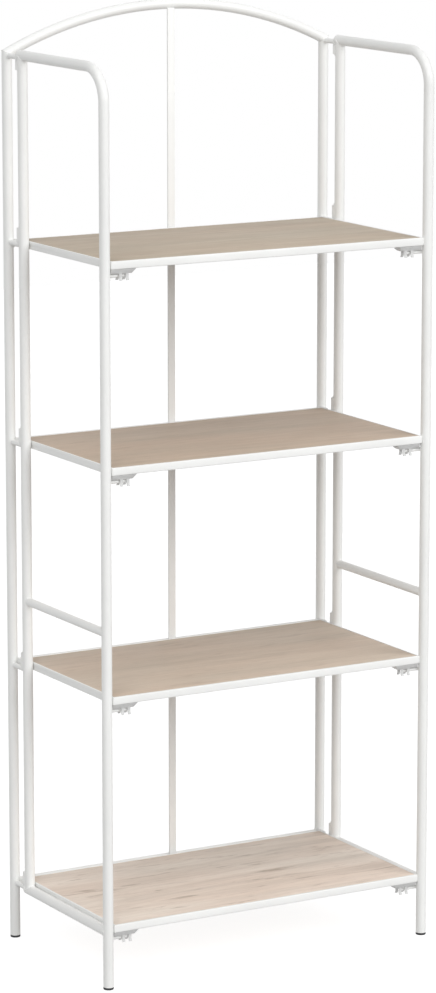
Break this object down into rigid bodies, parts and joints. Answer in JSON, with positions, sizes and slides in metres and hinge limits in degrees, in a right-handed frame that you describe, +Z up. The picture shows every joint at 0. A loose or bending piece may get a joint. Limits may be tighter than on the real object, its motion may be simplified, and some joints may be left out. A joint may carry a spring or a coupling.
{
  "type": "folding bookcase",
  "caption": "Folding bookcase: hinged steel-tube side hoops on an arched back frame, with oak-look shelves that fold up on rear pivots.",
  "frame": {"origin": "on the floor, midway between the four legs", "axes": "+X to the bookcase's right as seen from the front, +Y to its back, +Z up"},
  "size_m": [0.617, 0.347, 1.5645],
  "materials": {
    "white_coat": "satin",
    "oak_board": "matte",
    "dark_foot": "matte",
    "clip_plastic": "satin"
  },
  "bodies": {
    "back_frame": {"back_arch": "white_coat", "back_centre_upright": "white_coat", "back_cross_rail_1": "white_coat", "back_cross_rail_2": "white_coat", "back_cross_rail_3": "white_coat", "back_cross_rail_4": "white_coat", "back_post_left": "white_coat", "back_post_right": "white_coat", "back_foot_left": "dark_foot", "back_foot_right": "dark_foot", "hinge_rod_left_1": "white_coat", "hinge_rod_left_2": "white_coat", "hinge_rod_left_3": "white_coat", "hinge_rod_left_4": "white_coat", "hinge_rod_left_5": "white_coat", "hinge_rod_right_1": "white_coat", "hinge_rod_right_2": "white_coat", "hinge_rod_right_3": "white_coat", "hinge_rod_right_4": "white_coat", "hinge_rod_right_5": "white_coat"},
    "left_side_frame": {"side_hoop_left": "white_coat", "side_rear_post_left": "white_coat", "side_mid_rail_left": "white_coat", "side_bottom_rail_left": "white_coat", "front_foot_left": "dark_foot", "hinge_sleeve_left_1": "white_coat", "hinge_sleeve_left_2": "white_coat", "hinge_sleeve_left_3": "white_coat", "hinge_sleeve_left_4": "white_coat", "hinge_sleeve_left_5": "white_coat"},
    "right_side_frame": {"side_hoop_right": "white_coat", "side_rear_post_right": "white_coat", "side_mid_rail_right": "white_coat", "side_bottom_rail_right": "white_coat", "front_foot_right": "dark_foot", "hinge_sleeve_right_1": "white_coat", "hinge_sleeve_right_2": "white_coat", "hinge_sleeve_right_3": "white_coat", "hinge_sleeve_right_4": "white_coat", "hinge_sleeve_right_5": "white_coat"},
    "shelf_1": {"shelf_frame_1": "white_coat", "shelf_board_1": "oak_board", "shelf_clip_1_left": "clip_plastic", "shelf_clip_1_right": "clip_plastic"},
    "shelf_2": {"shelf_frame_2": "white_coat", "shelf_board_2": "oak_board", "shelf_clip_2_left": "clip_plastic", "shelf_clip_2_right": "clip_plastic"},
    "shelf_3": {"shelf_frame_3": "white_coat", "shelf_board_3": "oak_board", "shelf_clip_3_left": "clip_plastic", "shelf_clip_3_right": "clip_plastic"},
    "shelf_4": {"shelf_frame_4": "white_coat", "shelf_board_4": "oak_board", "shelf_clip_4_left": "clip_plastic", "shelf_clip_4_right": "clip_plastic"}
  },
  "joints": [
    {"name": "left_side_hinge", "type": "hinge", "parent": "back_frame", "child": "left_side_frame", "pos_m": [-0.3, 0.12405, 0], "axis": [0, 0, -1], "range_deg": [0, 90]},
    {"name": "right_side_hinge", "type": "hinge", "parent": "back_frame", "child": "right_side_frame", "pos_m": [0.3, 0.12405, 0], "axis": [0, 0, 1], "range_deg": [0, 90]},
    {"name": "shelf_1_pivot", "type": "hinge", "parent": "back_frame", "child": "shelf_1", "pos_m": [0, 0.141, 1.1799], "axis": [-1, 0, 0], "range_deg": [0, 90]},
    {"name": "shelf_2_pivot", "type": "hinge", "parent": "back_frame", "child": "shelf_2", "pos_m": [0, 0.141, 0.8512], "axis": [-1, 0, 0], "range_deg": [0, 90]},
    {"name": "shelf_3_pivot", "type": "hinge", "parent": "back_frame", "child": "shelf_3", "pos_m": [0, 0.141, 0.4785], "axis": [-1, 0, 0], "range_deg": [0, 90]},
    {"name": "shelf_4_pivot", "type": "hinge", "parent": "back_frame", "child": "shelf_4", "pos_m": [0, 0.141, 0.1002], "axis": [-1, 0, 0], "range_deg": [0, 90]}
  ]
}
